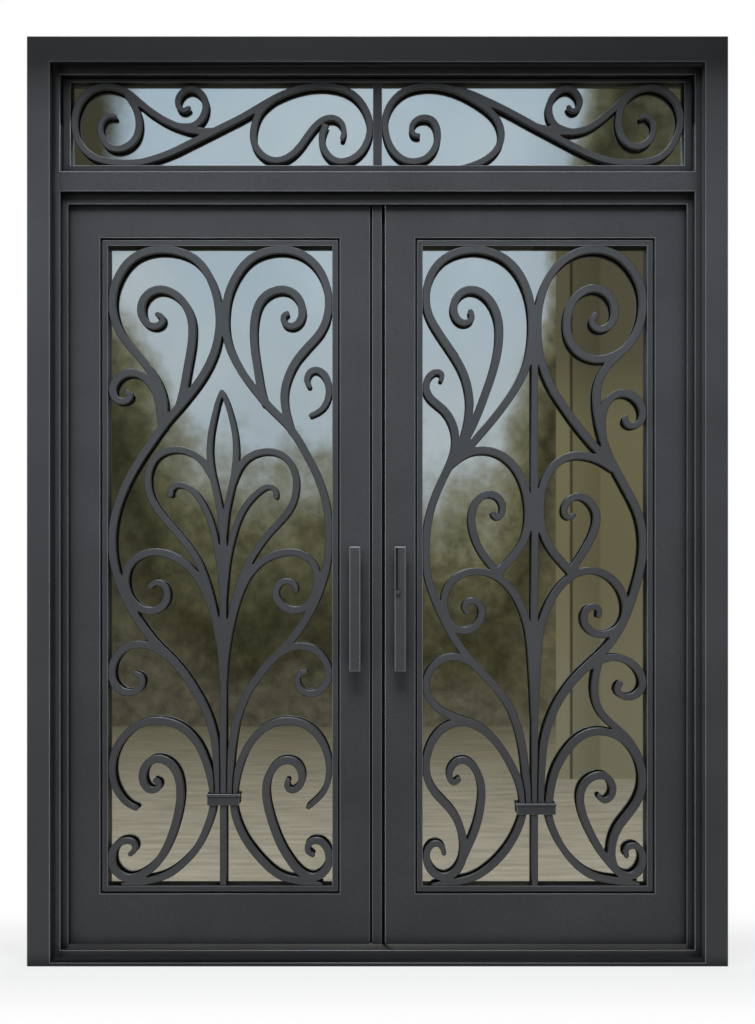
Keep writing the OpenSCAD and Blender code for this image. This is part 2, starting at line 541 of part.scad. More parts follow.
// One jamb, a stepped section standing the full height
module jamb(s)
    linear_extrude(height = frame_height)
        polygon([[s * half_width, deep(0)], [s * outer_in, deep(0)], [s * outer_in, deep(step_back)],
            [s * step_in, deep(step_back)], [s * step_in, deep(frame_depth)],
            [s * half_width, deep(frame_depth)]]);
module left_jamb() color(iron) jamb(-1);
module right_jamb() color(iron) jamb(1);

module head() color(iron) {
    block(-outer_in, outer_in, 0, step_back, head_low, frame_height);
    block(-step_in, step_in, 0, frame_depth, head_low, frame_height);
    block(-step_in, step_in, step_back, frame_depth, head_step, frame_height);
}

module sill() color(iron) {
    translate([-outer_in, 0, 0])
        rotate([90, 0, 90])
            linear_extrude(height = 2 * outer_in)
                polygon([[deep(0), 0], [deep(step_back), 0], [deep(step_back), sill_tread],
                    [deep(0), sill_nose]]);
    block(-step_in, step_in, 0, frame_depth, 0, sill_nose);
    block(-step_in, step_in, step_back, frame_depth, 0, sill_height);
}

module transom_bar() color(iron)
    block(-step_in, step_in, step_back, frame_depth, bar_bottom, bar_top);

// One side stop
module side_stop(s) block(s * stop_in, s * step_in, stop_back, stop_end, sill_height, bar_bottom);
module left_door_stop() color(iron) side_stop(-1);
module right_door_stop() color(iron) side_stop(1);
module head_door_stop() color(iron)
    block(-stop_in, stop_in, stop_back, stop_end, stop_low, bar_bottom);

// Ring of transom bead set in by d from the frame, between two depths
module transom_ring(d, f0, f1)
    ring(-step_in + d, step_in - d, bar_top + d, head_step - d, -transom_in, transom_in, transom_low,
        transom_high, f0, f1);
module transom_bead() color(iron) {
    transom_ring(0, stop_back + groove_depth, transom_glass_front);
    transom_ring(transom_groove, stop_back, stop_back + groove_depth);
}
module transom_mullion() color(iron)
    block(-mullion_half, mullion_half, transom_scroll_front, transom_glass_front, transom_low, transom_high);
module transom_glass() color(pane)
    block(-step_in + glass_play, step_in - glass_play, transom_glass_front, transom_glass_back,
        bar_top + glass_play, head_step - glass_play);
module transom_rear_bead() color(iron)
    transom_ring(0, transom_glass_back, transom_glass_back + transom_rear_depth);
module left_transom_scrolls() color(dark_iron)
    panel(-mullion_half - transom_wide / 2, transom_low, transom_wide, transom_tall, transom_scroll_front,
        transom_scroll_depth, transom_pattern) left_transom_bars();
module right_transom_scrolls() color(dark_iron)
    panel(mullion_half + transom_wide / 2, transom_low, transom_wide, transom_tall, transom_scroll_front,
        transom_scroll_depth, transom_pattern) right_transom_bars();

// Height of hinge i
function hinge_at(i) = hinge_low + (hinge_high - hinge_low) * i / (hinge_count - 1);

// Frame side of one hinge: lower knuckle, tab on the jamb and the pin
module frame_hinge(s, z)
    translate([s * hinge_line, deep(hinge_deep), z]) {
        cylinder(r = knuckle_radius, h = knuckle_length);
        translate([s > 0 ? 0 : -tab_width, -hinge_back, 0]) cube([tab_width, hinge_back, knuckle_length]);
        cylinder(r = pin_radius, h = 2 * knuckle_length + knuckle_gap);
    }
module frame_hinges(s)
    for (i = [0:hinge_count - 1]) frame_hinge(s, hinge_at(i));
module left_frame_hinges() color(steel) frame_hinges(-1);
module right_frame_hinges() color(steel) frame_hinges(1);

// Leaf side of one hinge: upper knuckle on a tab welded to the back of the leaf
module leaf_hinge(s, z)
    translate([s * hinge_line, deep(hinge_deep), z + knuckle_length + knuckle_gap])
        difference() {
            union() {
                cylinder(r = knuckle_radius, h = knuckle_length);
                translate([s > 0 ? -tab_width : 0, 0, 0])
                    translate([0, leaf_back - hinge_deep, 0])
                        translate([s > 0 ? 0 : hinge_gap / 2, 0, 0])
                            cube([tab_width - hinge_gap / 2, hinge_deep - leaf_back, knuckle_length]);
            }
            translate([0, 0, -1]) cylinder(r = pin_radius + pin_play, h = knuckle_length + 2);
        }
module leaf_hinges(s)
    for (i = [0:hinge_count - 1]) leaf_hinge(s, hinge_at(i));

// Members of one leaf
module hinge_side(s) block(s * open_out, s * leaf_hinge_edge, leaf_front, leaf_back, leaf_low, leaf_high);
module meeting_side(s) block(s * meeting_half, s * open_in, leaf_front, leaf_back, leaf_low, leaf_high);
module upper_rail(s) block(s * open_in, s * open_out, leaf_front, leaf_back, open_high, leaf_high);
module lower_rail(s) block(s * open_in, s * open_out, leaf_front, leaf_back, leaf_low, open_low);

// Ring of bead set in by d from the opening of a leaf, between two depths
module bead_ring(s, d, f0, f1) {
    x0 = min(s * open_in, s * open_out);
    x1 = max(s * open_in, s * open_out);
    ring(x0 + d, x1 - d, open_low + d, open_high - d, x0 + bead_total, x1 - bead_total,
        open_low + bead_total, open_high - bead_total, f0, f1);
}
module front_bead(s) {
    bead_ring(s, 0, bead_front + groove_depth, glass_front);
    bead_ring(s, groove, bead_front, bead_front + groove_depth);
}
module rear_bead(s) bead_ring(s, 0, glass_back, leaf_back);
module leaf_glass(s)
    block(s * (open_in + glass_play), s * (open_out - glass_play), glass_front, glass_back,
        open_low + glass_play, open_high - glass_play);

// Collar around the bundled bars of a leaf, with a rim along its top
module collar(mid, bundle, rise) {
    u0 = bundle[0] * lite_wide / leaf_pattern[0];
    u1 = bundle[1] * lite_wide / leaf_pattern[0];
    translate([mid, deep(scroll_front), lite_low + rise * lite_tall / leaf_pattern[1]])
        difference() {
            union() {
                translate([u0 - collar_wall, -collar_wall, 0])
                    cube([u1 - u0 + 2 * collar_wall, scroll_depth + 2 * collar_wall,
                        collar_height - collar_rim]);
                translate([u0 - collar_wall - collar_lip, -collar_wall - collar_lip,
                    collar_height - collar_rim])
                    cube([u1 - u0 + 2 * (collar_wall + collar_lip),
                        scroll_depth + 2 * (collar_wall + collar_lip), collar_rim]);
            }
            translate([u0, 0, -1]) cube([u1 - u0, scroll_depth, collar_height + 2]);
        }
}

// Pull bar on two square stand-offs
module pull(s) {
    x = s * pull_offset;
    bar_back = leaf_front - pull_clear;
    block(x - pull_width / 2, x + pull_width / 2, bar_back - pull_thick, bar_back,
        pull_height - pull_length / 2, pull_height + pull_length / 2);
    for (z = [-pull_post_reach, pull_post_reach])
        block(x - pull_post / 2, x + pull_post / 2, bar_back, leaf_front,
            pull_height + z - pull_post / 2, pull_height + z + pull_post / 2);
}

module left_hinge_stile() color(iron) hinge_side(-1);
module left_meeting_stile() color(iron) meeting_side(-1);
module left_top_rail() color(iron) upper_rail(-1);
module left_bottom_rail() color(iron) lower_rail(-1);
module left_bead() color(iron) front_bead(-1);
module left_glass() color(pane) leaf_glass(-1);
module left_rear_bead() color(iron) rear_bead(-1);
module left_scrollwork() color(dark_iron)
    panel(-lite_mid, lite_low, lite_wide, lite_tall, scroll_front, scroll_depth, leaf_pattern) {
        left_bars();
        left_seams();
    }
module left_collar() color(dark_iron) collar(-lite_mid, left_bundle, left_collar_rise);
module left_pull() color(dark_iron) pull(-1);
module left_leaf_hinges() color(steel) leaf_hinges(-1);

module right_hinge_stile() color(iron) hinge_side(1);
module right_meeting_stile() color(iron) meeting_side(1);
module right_top_rail() color(iron) upper_rail(1);
module right_bottom_rail() color(iron) lower_rail(1);
module right_bead() color(iron) front_bead(1);
module right_glass() color(pane) leaf_glass(1);
module right_rear_bead() color(iron) rear_bead(1);
module right_scrollwork() color(dark_iron)
    panel(lite_mid, lite_low, lite_wide, lite_tall, scroll_front, scroll_depth, leaf_pattern) {
        right_bars();
        right_seams();
    }
module right_collar() color(dark_iron) collar(lite_mid, right_bundle, right_collar_rise);
module right_pull() color(dark_iron) pull(1);
module right_leaf_hinges() color(steel) leaf_hinges(1);

// Strip in the gap between the leaves, fixed to the edge of the left leaf
module astragal() color(iron)
    translate([0, 0, leaf_low])
        linear_extrude(height = leaf_high - leaf_low)
            polygon([[-meeting_half, deep(leaf_back)],
                [-meeting_half, deep(leaf_front + astragal_groove_depth)],
                [-meeting_half + astragal_groove, deep(leaf_front + astragal_groove_depth)],
                [-meeting_half + astragal_groove, deep(leaf_front)],
                [astragal_in, deep(leaf_front)],
                [astragal_in, deep(leaf_back)]]);

// Slim latch blade with a round thumb button, on the front of the right pull
module thumb_latch() color(steel) {
    front = leaf_front - pull_clear - pull_thick;
    x = pull_offset - pull_width / 2 + latch_edge;
    top = pull_height + pull_length / 2 - latch_edge;
    block(x, x + latch_width, front - latch_proud, front, top - latch_length, top);
    translate([x + button_size / 2, deep(front), top - latch_length])
        rotate([90, 0, 0])
            cylinder(r = button_size / 2, h = button_proud);
}

left_jamb();
right_jamb();
head();
sill();
transom_bar();
left_door_stop();
right_door_stop();
head_door_stop();
transom_bead();
transom_mullion();
transom_glass();
transom_rear_bead();
left_transom_scrolls();
right_transom_scrolls();
left_frame_hinges();
right_frame_hinges();
left_hinge_stile();
left_meeting_stile();
left_top_rail();
left_bottom_rail();
left_bead();
left_glass();
left_rear_bead();
left_scrollwork();
left_collar();
left_pull();
left_leaf_hinges();
astragal();
right_hinge_stile();
right_meeting_stile();
right_top_rail();
right_bottom_rail();
right_bead();
right_glass();
right_rear_bead();
right_scrollwork();
right_collar();
right_pull();
right_leaf_hinges();
thumb_latch();
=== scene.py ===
"""Wrought iron double entry door with a scrolled transom: finishes, forged edges, glass and studio."""
import json
import math

import bmesh
import bpy
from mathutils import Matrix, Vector


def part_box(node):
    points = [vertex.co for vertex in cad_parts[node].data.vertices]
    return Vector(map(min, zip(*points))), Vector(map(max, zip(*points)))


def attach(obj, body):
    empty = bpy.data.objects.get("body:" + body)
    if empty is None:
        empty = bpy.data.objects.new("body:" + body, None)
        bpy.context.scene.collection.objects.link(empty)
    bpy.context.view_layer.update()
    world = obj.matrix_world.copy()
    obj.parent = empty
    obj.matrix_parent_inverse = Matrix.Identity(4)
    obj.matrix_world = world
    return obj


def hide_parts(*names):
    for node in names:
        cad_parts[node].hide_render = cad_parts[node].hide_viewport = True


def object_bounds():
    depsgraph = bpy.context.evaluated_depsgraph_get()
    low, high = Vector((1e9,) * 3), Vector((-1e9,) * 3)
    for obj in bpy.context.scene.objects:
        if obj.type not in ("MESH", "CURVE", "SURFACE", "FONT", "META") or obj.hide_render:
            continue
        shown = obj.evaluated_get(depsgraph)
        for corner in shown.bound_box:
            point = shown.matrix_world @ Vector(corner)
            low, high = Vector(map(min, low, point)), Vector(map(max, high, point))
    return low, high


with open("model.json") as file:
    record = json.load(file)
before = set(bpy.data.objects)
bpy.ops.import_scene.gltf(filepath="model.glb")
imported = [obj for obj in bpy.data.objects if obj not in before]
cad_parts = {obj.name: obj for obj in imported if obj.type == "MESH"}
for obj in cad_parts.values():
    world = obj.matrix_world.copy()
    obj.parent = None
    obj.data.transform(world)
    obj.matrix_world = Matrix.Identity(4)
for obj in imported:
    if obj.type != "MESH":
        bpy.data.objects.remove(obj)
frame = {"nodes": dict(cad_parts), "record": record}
cad_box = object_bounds()
nodes = frame["nodes"]
node_body = {n: b for b, names in frame["record"]["behaviour"]["bodies"].items() for n in names}

# Sizes in metres, angles, and counts of steps across a rounded edge
ARRIS = 0.0018
BEAD_ARRIS = 0.0015
PULL_ARRIS = 0.0030
LATCH_ARRIS = 0.0006
FORGED_EDGE = 0.0022
EDGE_STEPS = 3
SHARP = math.radians(30)
FLAT_LIMIT = math.radians(1.0)
CORNER_LIMIT = math.radians(34)
NEEDLE_TURN = math.radians(112)
NEEDLE_WIDTH = 0.0018
SHORT_SPAN = 0.004
JOIN_GAP = 0.00002
WELD_GAP = 0.00005
# painted shade: how far the occlusion looks for crevices to darken
CREVICE_REACH = 0.045
PEEL_HEIGHT = 0.0006
WAVE_HEIGHT = 0.002
SCREW_SPACING = 0.24
SCREW_RADIUS = 0.0034
SCREW_RISE = 0.0016
SCREW_INSET = 0.0065
SCREW_MARGIN = 0.045

# Shares of one: how far a face leans outdoors, how strong a bump is, how wide a screw's top and socket are
FRONT_FACING = -0.9
RIM_FACING = (-0.94, -0.34)
PEEL_STRENGTH = 0.12
WAVE_STRENGTH = 0.03
SCREW_TAPER = 0.72
SCREW_SOCKET = 0.42

# Camera: on the door's own centre line, level, at the height where the picture's level lines meet
SENSOR_WIDTH = 36.0
PICTURE_TALL = 1024
PICTURE_SPAN = 2.683
CAMERA_DISTANCE = 4.400
CAMERA_HEIGHT = 1.013
FRAMING_RISE = 68

# Paint colours, as linear values
CHARCOAL = (0.042, 0.0423, 0.0440, 1.0)
CHARCOAL_FORGED = (0.046, 0.0464, 0.0485, 1.0)
CHARCOAL_WORN = (0.040, 0.0404, 0.0420, 1.0)
# painted highlight: paler paint on the eased arrises, standing in for the light they catch
ARRIS_HIGHLIGHT = (0.125, 0.126, 0.131, 1.0)
# painted shade: near-black paint on the rounded rims of the scroll bars
FORGED_RIM_SHADE = (0.009, 0.0091, 0.0095, 1.0)
# painted highlight: paler paint on the eased arrises of the pulls and the latch button
WORN_ARRIS_HIGHLIGHT = (0.115, 0.116, 0.120, 1.0)
# painted shade: near-black paint on the latch blade, standing for the shaded slit beside it
LATCH_BLADE_SHADE = (0.006, 0.006, 0.0063, 1.0)
SCREW_STEEL = (0.20, 0.20, 0.205, 1.0)
RUBBER = (0.012, 0.012, 0.012, 1.0)
GLASS_TINT = (0.58, 0.59, 0.57, 1.0)
GLASS_TINT_PALE = (0.64, 0.65, 0.63, 1.0)

# Paint and glass patterns: noise as scale, detail and roughness, and spans as from and to
GRAIN = (520.0, 2.0)
CLOUDING = (3.2, 4.0)
SPECKLE_SPANS = ((0.35, 0.7), (0.76, 1.30))
SHADE_SPANS = ((0.3, 0.7), (0.88, 1.12))
# painted shade: spans from occlusion to darkening, so the paint is darker in crevices, recesses and between
# parts
CREVICE_SHADE_SPANS = ((0.40, 0.92), (0.12, 1.0))
DUST_TILT = (0.4, 1.0)
DUST = (0.16, 0.155, 0.145, 1.0)
SHEEN_SWING = 0.16
GLASS_HAZE = (2.0, 3.0)
GLASS_WAVE = (3.5, 0.0)

# Surroundings seen in the glass and through it: where they stand, how high they reach, and their colours
REFLECTED_AT = -7.0
TREE_LINE = 1.70
TREE_RISE = 4.5
RIGHT_TREES = (0.75, 2.00)
LEFT_TREES = (-1.10, -2.00)
LEFT_RISE = 1.2
HIGH_BOUGHS = (-1.55, -1.95)
HIGH_BOUGHS_RISE = (3.2, 3.5)
BOUGH_SWAY = 0.25
BOUGHS = (0.105, 0.102, 0.066, 1.0)
WALL_AT = -3.95
WALL_FROM = 0.907
WALL_TO = 1.90
WALL_TOP = 2.75
WALL_STOPS = (
    (0.00, (0.33, 0.305, 0.205, 1.0)),
    (0.17, (0.325, 0.30, 0.20, 1.0)),
    (0.40, (0.27, 0.238, 0.135, 1.0)),
    (0.66, (0.29, 0.265, 0.15, 1.0)),
    (0.78, (0.175, 0.16, 0.10, 1.0)),
    (1.00, (0.165, 0.15, 0.095, 1.0)),
)
POST_STOPS = (
    (0.000, (1.20, 1.20, 1.20, 1.0)),
    (0.069, (1.20, 1.20, 1.20, 1.0)),
    (0.074, (0.25, 0.25, 0.25, 1.0)),
    (0.081, (0.25, 0.25, 0.25, 1.0)),
    (0.087, (1.00, 1.00, 1.00, 1.0)),
    (0.222, (0.82, 0.82, 0.82, 1.0)),
    (0.230, (1.05, 1.05, 1.05, 1.0)),
    (1.000, (1.15, 1.15, 1.15, 1.0)),
)
EAVES_RISE = (4.55, 4.85)
EAVES = (0.05, 0.05, 0.05, 1.0)
GROUND_TOP = 0.50
GROUND_FADE = 0.5
GROUND = (0.20, 0.183, 0.126, 1.0)
SIDE_SPAN = (-2.0, 1.6)
SIDE_GAIN = (1.05, 1.35)
FOLIAGE = (1.3, 9.0, 0.68)
CLOUDS = (0.55, 4.0)
CLUMPS = (9.0, 8.0, 0.7)
RAGGED = 2.2
SKY_SPAN = (-3.0, 2.0)
SKY_EDGE = (0.64, 0.52)
LEAF_SHARE = 0.85
CLOUD_STOPS = ((0.34, (0.80, 0.86, 0.92, 1.0)), (0.66, (1.06, 1.04, 1.03, 1.0)))
LEAF_STOPS = ((0.36, (0.40, 0.40, 0.40, 1.0)), (0.64, (1.0, 1.0, 1.0, 1.0)))
SKY_STOPS = (
    (0.00, (0.22, 0.205, 0.130, 1.0)),
    (0.22, (0.19, 0.175, 0.105, 1.0)),
    (0.38, (0.095, 0.090, 0.045, 1.0)),
    (0.52, (0.26, 0.25, 0.14, 1.0)),
    (0.60, (0.46, 0.47, 0.37, 1.0)),
    (0.68, (0.90, 1.04, 1.14, 1.0)),
    (1.00, (1.02, 1.20, 1.34, 1.0)),
)
PAVING_STOPS = (
    (0.00, (0.28, 0.255, 0.175, 1.0)),
    (0.30, (0.44, 0.40, 0.30, 1.0)),
    (1.00, (0.92, 0.85, 0.70, 1.0)),
)
COURSES = (4.0, 14.0, 1.0)
STREAKS = (1.0, 5.0)
STREAK_STOPS = ((0.35, (0.72, 0.72, 0.70, 1.0)), (0.65, (1.0, 1.0, 1.0, 1.0)))
PAVING_LIGHT = -0.8
PAVING_NEAR = -0.25
CARD_REACH = 7.0
SKY_TOP = 12.0
OVER_FLOOR = 0.001
INDOORS = (0.010, 0.010, 0.009, 1.0)
INDOOR_REACH = 3.0
INDOOR_HEIGHT = 5.0
INDOOR_GAP = 0.02
INDOOR_DEPTH = 2.0

# Floor, shade over the head, and lamps: name, place, aim, size, watts, colour, whether they are mirrored
FLOOR = (0.36, 0.36, 0.36, 1.0)
FLOOR_REACH = 30
SHADOW_REACH = (0.08, 0.75)
SHADOW_SHARE = 0.78
WORLD_LIGHT = 0.06
SHADE_REACH = 2.0
SHADE_NEAR = -0.38
SHADE_FAR = 0.6
SHADE_HEIGHT = 2.55
SKYLIGHT = (0.86, 0.93, 1.0)
WHITE = (1.0, 1.0, 1.0)
FULL_WHITE = (1.0, 1.0, 1.0, 1.0)
BOX_AIM = (0.0, 0.0, 1.5)
BOX_SIZE = (1.0, 2.0)
LAMPS = (
    ("Overhead", (-0.25, -2.6, 5.2), (0.0, 0.0, 1.6), (3.0, 2.6), 440, SKYLIGHT, True),
    ("Left box", (-2.7, -2.7, 1.7), BOX_AIM, BOX_SIZE, 15, WHITE, False),
    ("Right box", (2.7, -2.7, 1.7), BOX_AIM, BOX_SIZE, 6, WHITE, False),
    ("Rear", (0.5, 4.5, 3.5), (0.0, 0.0, 1.2), (3.0, 2.0), 90, WHITE, True),
)

# Rubber seal that closes the slit between the leaves
SEAL_PLAY = 0.0002
SEAL_BACK = 0.030
SEAL_THICK = 0.010


def add(tree, kind, **values):
    """New node with its plain properties set."""
    made = tree.nodes.new(kind)
    for key, value in values.items():
        setattr(made, key, value)
    return made


def ranged(tree, value, from_span, to_span=(0.0, 1.0), curve="LINEAR"):
    """Value mapped from one span to another, returning the output link."""
    mapped = add(tree, "ShaderNodeMapRange", interpolation_type=curve)
    for ends, span in ((("From Min", "From Max"), from_span), (("To Min", "To Max"), to_span)):
        for name, number in zip(ends, span):
            mapped.inputs[name].default_value = number
    tree.links.new(value, mapped.inputs["Value"])
    return mapped.outputs["Result"]


def noise(tree, place, scale, detail, roughness=0.5):
    """Noise texture over the given coordinates, returning its grey output."""
    texture = add(tree, "ShaderNodeTexNoise")
    texture.inputs["Scale"].default_value = scale
    texture.inputs["Detail"].default_value = detail
    texture.inputs["Roughness"].default_value = roughness
    tree.links.new(place, texture.inputs["Vector"])
    return texture.outputs["Fac"]


def scaled(tree, colour, amount):
    """Colour link times a value link."""
    product = add(tree, "ShaderNodeVectorMath", operation="SCALE")
    tree.links.new(colour, product.inputs[0])
    tree.links.new(amount, product.inputs["Scale"])
    return product.outputs["Vector"]


def axes(tree, vector):
    """X, Y and Z links of a vector link."""
    parts = add(tree, "ShaderNodeSeparateXYZ")
    tree.links.new(vector, parts.inputs[0])
    return parts.outputs["X"], parts.outputs["Y"], parts.outputs["Z"]


def mix_colours(tree, factor, first, second, blend="MIX"):
    """Mix node between two colours or links, returning its colour output."""
    mixer = add(tree, "ShaderNodeMix", data_type="RGBA", blend_type=blend)
    for socket, value in ((mixer.inputs[0], factor), (mixer.inputs[6], first), (mixer.inputs[7], second)):
        if isinstance(value, bpy.types.NodeSocket):
            tree.links.new(value, socket)
        else:
            socket.default_value = value
    return mixer.outputs[2]


def added(tree, first, second, operation="ADD"):
    """Sum, or another plain operation, of two values or links."""
    sum_node = add(tree, "ShaderNodeMath", operation=operation)
    for socket, value in zip(sum_node.inputs, (first, second)):
        if isinstance(value, bpy.types.NodeSocket):
            tree.links.new(value, socket)
        else:
            socket.default_value = value
    return sum_node.outputs["Value"]


def step_over(tree, value, low, high, rise):
    """Smooth step from 0 to rise as a value goes from low to high."""
    return ranged(tree, value, (low, high), (0.0, rise), "SMOOTHSTEP")


def colour_ramp(tree, value, stops):
    """Colour that a value picks from stops given as (position, colour), returning the output link."""
    ramp = add(tree, "ShaderNodeValToRGB")
    marks = ramp.color_ramp.elements
    marks[0].position, marks[0].color = stops[0]
    marks[1].position, marks[1].color = stops[-1]
    for position, colour in stops[1:-1]:
        marks.new(position).color = colour
    tree.links.new(value, ramp.inputs["Fac"])
    return ramp.outputs["Color"]


def object_place(tree):
    """Object coordinates, as an output link."""
    return add(tree, "ShaderNodeTexCoord").outputs["Object"]


def bumped(tree, shader, height, strength, distance):
    """Roughens a shader's normal by a height link."""
    bump = add(tree, "ShaderNodeBump")
    bump.inputs["Strength"].default_value = strength
    bump.inputs["Distance"].default_value = distance
    tree.links.new(height, bump.inputs["Height"])
    tree.links.new(bump.outputs["Normal"], shader.inputs["Normal"])


def new_material(name):
    """New material with its node tree and its Principled shader."""
    material = bpy.data.materials.new(name)
    material.use_nodes = True
    return material, material.node_tree, material.node_tree.nodes["Principled BSDF"]


def powder_coat_group():
    """Node group for sprayed paint: fine speckle, slow clouding, dust on top, orange-peel height."""
    group = bpy.data.node_groups.new("Powder coat", "ShaderNodeTree")
    face = group.interface
    face.new_socket("Paint", in_out="INPUT", socket_type="NodeSocketColor")
    face.new_socket("Sheen", in_out="INPUT", socket_type="NodeSocketFloat").default_value = 0.45
    face.new_socket("Dust", in_out="INPUT", socket_type="NodeSocketFloat").default_value = 0.3
    face.new_socket("Colour", in_out="OUTPUT", socket_type="NodeSocketColor")
    face.new_socket("Roughness", in_out="OUTPUT", socket_type="NodeSocketFloat")
    face.new_socket("Height", in_out="OUTPUT", socket_type="NodeSocketFloat")
    taken = add(group, "NodeGroupInput")
    given = add(group, "NodeGroupOutput")
    place = object_place(group)

    grain = noise(group, place, *GRAIN)
    cloud = noise(group, place, *CLOUDING)
    speckle = ranged(group, grain, *SPECKLE_SPANS)
    shade = ranged(group, cloud, *SHADE_SPANS)
    tinted = scaled(group, taken.outputs["Paint"], added(group, speckle, shade, "MULTIPLY"))

    # dust settles on what faces upwards
    upright = axes(group, add(group, "ShaderNodeNewGeometry").outputs["Normal"])[2]
    settled = added(group, ranged(group, upright, DUST_TILT), taken.outputs["Dust"], "MULTIPLY")
    group.links.new(mix_colours(group, settled, tinted, DUST), given.inputs["Colour"])

    gloss = add(group, "ShaderNodeMath", operation="MULTIPLY_ADD")
    group.links.new(cloud, gloss.inputs[0])
    gloss.inputs[1].default_value = SHEEN_SWING
    group.links.new(taken.outputs["Sheen"], gloss.inputs[2])
    group.links.new(gloss.outputs["Value"], given.inputs["Roughness"])
    group.links.new(grain, given.inputs["Height"])
    return group


def coated_iron(name, group, colour, sheen, dust, specular):
    """Painted iron, or rubber with a like grain, from the powder coat group, with painted shade darkening
    its crevices.
    """
    material, tree, shader = new_material(name)
    coat = add(tree, "ShaderNodeGroup", node_tree=group)
    coat.inputs["Paint"].default_value = colour
    coat.inputs["Sheen"].default_value = sheen
    coat.inputs["Dust"].default_value = dust
    # painted shade: ambient occlusion darkens the paint in crevices, recesses and between parts
    hollow = add(tree, "ShaderNodeAmbientOcclusion", samples=8)
    hollow.inputs["Distance"].default_value = CREVICE_REACH
    shade_darkened = scaled(tree, coat.outputs["Colour"], ranged(tree, hollow.outputs["AO"], *CREVICE_SHADE_SPANS))
    tree.links.new(shade_darkened, shader.inputs["Base Color"])
    tree.links.new(coat.outputs["Roughness"], shader.inputs["Roughness"])
    bumped(tree, shader, coat.outputs["Height"], PEEL_STRENGTH, PEEL_HEIGHT)
    shader.inputs["Specular IOR Level"].default_value = specular
    return material


def coated_glass(name):
    """Faintly bronze glass with a mirror coat, slightly uneven."""
    material, tree, shader = new_material(name)
    place = object_place(tree)
    tint = mix_colours(tree, noise(tree, place, *GLASS_HAZE), GLASS_TINT, GLASS_TINT_PALE)
    tree.links.new(tint, shader.inputs["Base Color"])
    bumped(tree, shader, noise(tree, place, *GLASS_WAVE), WAVE_STRENGTH, WAVE_HEIGHT)
    shader.inputs["Roughness"].default_value = 0.015
    shader.inputs["Metallic"].default_value = 0.6
    shader.inputs["Transmission Weight"].default_value = 1.0
    shader.inputs["IOR"].default_value = 1.45
    return material


def new_object(name, data):
    """New object of the given data, in the scene."""
    made = bpy.data.objects.new(name, data)
    bpy.context.scene.collection.objects.link(made)
    return made


def plain_mesh(draft):
    """Mesh of an object as its modifiers or curve settings leave it."""
    bpy.context.view_layer.update()
    return bpy.data.meshes.new_from_object(draft.evaluated_get(bpy.context.evaluated_depsgraph_get()))


def make_whole(shape, gap):
    """Joins the loose triangles of a shape and makes its flat faces whole."""
    bmesh.ops.remove_doubles(shape, verts=shape.verts, dist=gap)
    bmesh.ops.dissolve_limit(shape, angle_limit=FLAT_LIMIT, verts=shape.verts, edges=shape.edges)


def merged_mesh(node):
    """Copy of a CAD node's mesh with its loose triangles joined and its flat faces made whole."""
    shape = bmesh.new()
    shape.from_mesh(nodes[node].data)
    make_whole(shape, JOIN_GAP)
    mesh = bpy.data.meshes.new(node + " merged")
    shape.to_mesh(mesh)
    shape.free()
    return mesh


def place_piece(name, mesh, material):
    """New object of the given mesh, in one material."""
    mesh.materials.clear()
    mesh.materials.append(material)
    return new_object(name, mesh)


def hand_over(piece, *members):
    """Gives a finished piece to the body of the nodes that it stands for, and hides those nodes."""
    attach(piece, node_body[members[0]])
    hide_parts(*members)


def ease_arrises(piece, arris, highlight_paint):
    """Bevel along a piece's outward edges, in a paler paint there that is a painted highlight."""
    piece.data.materials.append(highlight_paint)
    shape = bmesh.new()
    shape.from_mesh(piece.data)
    share = shape.edges.layers.float.new("bevel_weight_edge")
    for edge in shape.edges:
        edge[share] = float(edge.is_convex and edge.calc_face_angle(0.0) > SHARP)
    shape.to_mesh(piece.data)
    shape.free()
    # painted highlight: the bevel faces take the paler paint
    ease = piece.modifiers.new("eased arris", "BEVEL")
    ease.width = arris
    ease.material = 1
    ease.segments = EDGE_STEPS
    ease.limit_method = "WEIGHT"
    even = piece.modifiers.new("flat faces, round arrises", "WEIGHTED_NORMAL")
    even.mode = "FACE_AREA"
    even.weight = 100
    for face in piece.data.polygons:
        face.use_smooth = True


def softened(node, paints, arris):
    """Straight member with its arrises eased, as rolled and painted steel has them."""
    piece = place_piece(node + "_eased", merged_mesh(node), paints[0])
    ease_arrises(piece, arris, paints[1])
    hand_over(piece, node)
    return piece


def thumb_lever(node, paints, button_paint):
    """Latch lever with its blade painted near-black as painted shade, and a paler button at its foot."""
    piece = softened(node, paints, LATCH_ARRIS)
    piece.data.materials.append(button_paint)
    low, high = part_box(node)
    # painted shade: the blade behind the lever's middle keeps the near-black paint, and the button in front
    # takes the paler paint
    for face in piece.data.polygons:
        if face.center.y < (low[1] + high[1]) / 2:
            face.material_index = 2


def welded(name, members, paints, arris):
    """Members joined into one piece with no seam between them, then eased along its arrises."""
    drafts = [new_object(node + "_draft", merged_mesh(node)) for node in members]
    for other in drafts[1:]:
        join = drafts[0].modifiers.new("weld", "BOOLEAN")
        join.operation = "UNION"
        join.solver = "EXACT"
        join.object = other
    mesh = plain_mesh(drafts[0])
    for draft in drafts:
        bpy.data.objects.remove(draft)
    shape = bmesh.new()
    shape.from_mesh(mesh)
    make_whole(shape, WELD_GAP)
    shape.to_mesh(mesh)
    shape.free()
    mesh.name = name
    piece = place_piece(name, mesh, paints[0])
    ease_arrises(piece, arris, paints[1])
    hand_over(piece, *members)


